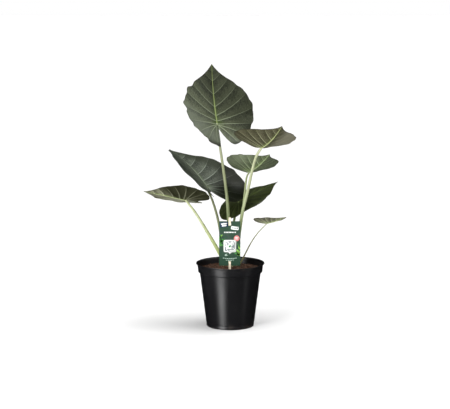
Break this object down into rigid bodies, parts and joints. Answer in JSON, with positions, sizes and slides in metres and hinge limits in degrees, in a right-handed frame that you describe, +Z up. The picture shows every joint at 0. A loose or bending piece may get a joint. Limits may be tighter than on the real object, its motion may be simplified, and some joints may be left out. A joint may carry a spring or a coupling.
{
  "type": "potted alocasia",
  "caption": "Young alocasia plant with long pale stalks and dark heart-shaped blades, in a black nursery pot of soil with an upright picture card on a stake.",
  "frame": {"origin": "centre of the pot's foot, on the surface that the pot stands on; the underside of the pot's floor is 2 mm above it", "axes": "+Z up along the pot's axis; the picture card faces -Y, and +X is to the right of someone who faces the card"},
  "size_m": [0.37, 0.3383, 0.6471],
  "materials": {
    "pot_plastic": "satin",
    "soil_peat": "matte",
    "crown_sheath": "satin",
    "card_print": "satin",
    "stake_wood": "matte",
    "leaf_stalk": "satin",
    "leaf_blade": "satin"
  },
  "bodies": {
    "root": {"pot": "pot_plastic", "soil": "soil_peat", "crown": "crown_sheath", "picture_card": "card_print", "card_stake": "stake_wood", "stalk_top": "leaf_stalk", "stalk_high_right": "leaf_stalk", "stalk_mid_right": "leaf_stalk", "stalk_broad_left": "leaf_stalk", "stalk_low_left": "leaf_stalk", "stalk_back": "leaf_stalk", "stalk_small_right": "leaf_stalk", "blade_top": "leaf_blade", "blade_high_right": "leaf_blade", "blade_mid_right": "leaf_blade", "blade_broad_left": "leaf_blade", "blade_low_left": "leaf_blade", "blade_back": "leaf_blade", "blade_small_right": "leaf_blade"}
  },
  "joints": []
}
